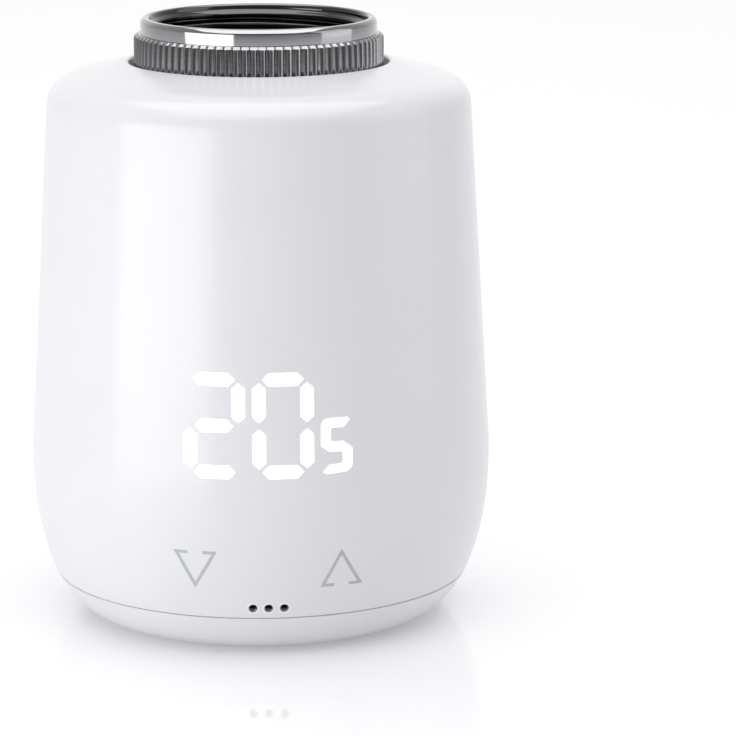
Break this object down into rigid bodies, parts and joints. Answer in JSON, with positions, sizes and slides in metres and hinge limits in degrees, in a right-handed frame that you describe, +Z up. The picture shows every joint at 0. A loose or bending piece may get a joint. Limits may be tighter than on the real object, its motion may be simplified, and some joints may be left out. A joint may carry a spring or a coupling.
{
  "type": "radiator thermostat head",
  "caption": "Motorised radiator thermostat head: rounded white shell with a lit display, knurled chrome union nut on top, and a geared push rod, cells and boards inside.",
  "frame": {"origin": "centre of the foot, at the height it stands on", "axes": "+Z up the valve axis towards the union nut, and the display faces -Y"},
  "size_m": [0.0642, 0.0642, 0.0834],
  "materials": {
    "white_shell": "smooth, semi-gloss",
    "chrome": "polished plate, knurled flange",
    "neck_grey": "matt",
    "frame_grey": "matt",
    "acetal_white": "satin",
    "steel": "zinc plated",
    "brass": "machined",
    "copper": "enamelled winding on laminations",
    "magnet": "sintered",
    "nickel": "nickel plated",
    "black_plastic": "matt",
    "connector_white": "matt",
    "board_green": "solder mask",
    "display_black": "matt",
    "diffuser": "frosted",
    "cell_wrap": "printed sleeve, no text",
    "wire_red": "insulation",
    "wire_black": "insulation"
  },
  "bodies": {
    "housing": {"battery_cell_1": "cell_wrap", "battery_cell_2": "cell_wrap", "battery_lead_black": "wire_black", "battery_lead_red": "wire_red", "chassis": "frame_grey", "contact_plate_negative": "nickel", "contact_plate_positive": "nickel", "contact_spring_negative": "nickel", "controller_chip": "black_plastic", "display_board": "display_black", "display_diffuser": "diffuser", "display_light_mask": "display_black", "gear_axle_1": "steel", "gear_axle_2": "steel", "gear_axle_3": "steel", "gearbox_cover": "frame_grey", "gearbox_screw_1": "steel", "gearbox_screw_2": "steel", "gearbox_screw_3": "steel", "lead_connector": "connector_white", "main_board": "board_green", "motor_can": "steel", "motor_driver_chip": "black_plastic", "motor_end_bell": "black_plastic", "motor_lead_black": "wire_black", "motor_lead_red": "wire_red", "motor_magnet_1": "magnet", "motor_magnet_2": "magnet", "motor_screw_1": "steel", "motor_screw_2": "steel", "neck_screw_1": "steel", "neck_screw_2": "steel", "neck_screw_3": "steel", "outer_shell": "white_shell", "radio_module": "nickel", "temperature_sensor": "black_plastic", "thrust_washer": "steel", "touch_spring_down": "nickel", "touch_spring_up": "nickel", "valve_neck": "neck_grey"},
    "union_nut": {"union_nut": "chrome"},
    "end_cap": {"end_cap": "white_shell", "bridge_contact_plate": "nickel", "bridge_contact_spring": "nickel"},
    "rotor": {"motor_armature": "copper", "motor_shaft": "steel", "motor_pinion": "brass"},
    "idler_1": {"idler_gear_1": "acetal_white"},
    "idler_2": {"idler_gear_2": "acetal_white"},
    "idler_3": {"idler_gear_3": "acetal_white"},
    "drive": {"drive_gear": "acetal_white"},
    "spindle": {"push_rod": "acetal_white", "lead_screw": "steel"}
  },
  "joints": [
    {"name": "union_nut_spin", "type": "hinge", "parent": "housing", "child": "union_nut", "pos_m": [0, 0, 0.078], "axis": [0, 0, 1], "continuous": true},
    {"name": "push_rod_slide", "type": "slide", "parent": "housing", "child": "spindle", "axis": [0, 0, 1], "range_m": [0, 0.0045]},
    {"name": "drive_gear_spin", "type": "hinge", "parent": "housing", "child": "drive", "pos_m": [0, 0, 0.0675], "axis": [0, 0, 1], "range_deg": [0, 1081]},
    {"name": "idler_gear_3_spin", "type": "hinge", "parent": "housing", "child": "idler_3", "pos_m": [-0.00234, 0.01329, 0.0661], "axis": [0, 0, 1], "range_deg": [-4753, 0]},
    {"name": "idler_gear_2_spin", "type": "hinge", "parent": "housing", "child": "idler_2", "pos_m": [-0.01176, 0.0076, 0.064], "axis": [0, 0, 1], "range_deg": [0, 16159]},
    {"name": "idler_gear_1_spin", "type": "hinge", "parent": "housing", "child": "idler_1", "pos_m": [-0.01416, -0.00313, 0.0619], "axis": [0, 0, 1], "range_deg": [-54939, 0]},
    {"name": "motor_spin", "type": "hinge", "parent": "housing", "child": "rotor", "pos_m": [-0.00445, -0.0083, 0.0455], "axis": [0, 0, 1], "range_deg": [0, 186792]},
    {"name": "end_cap_pull", "type": "slide", "parent": "housing", "child": "end_cap", "axis": [0, 0, -1], "range_m": [0, 0.03]}
  ],
  "couplings": [
    {"joint": "drive_gear_spin", "follows": "push_rod_slide", "rad_per_m": 4188.8},
    {"joint": "idler_gear_3_spin", "follows": "push_rod_slide", "rad_per_m": -18431},
    {"joint": "idler_gear_2_spin", "follows": "push_rod_slide", "rad_per_m": 62664},
    {"joint": "idler_gear_1_spin", "follows": "push_rod_slide", "rad_per_m": -213060},
    {"joint": "motor_spin", "follows": "push_rod_slide", "rad_per_m": 724400}
  ]
}
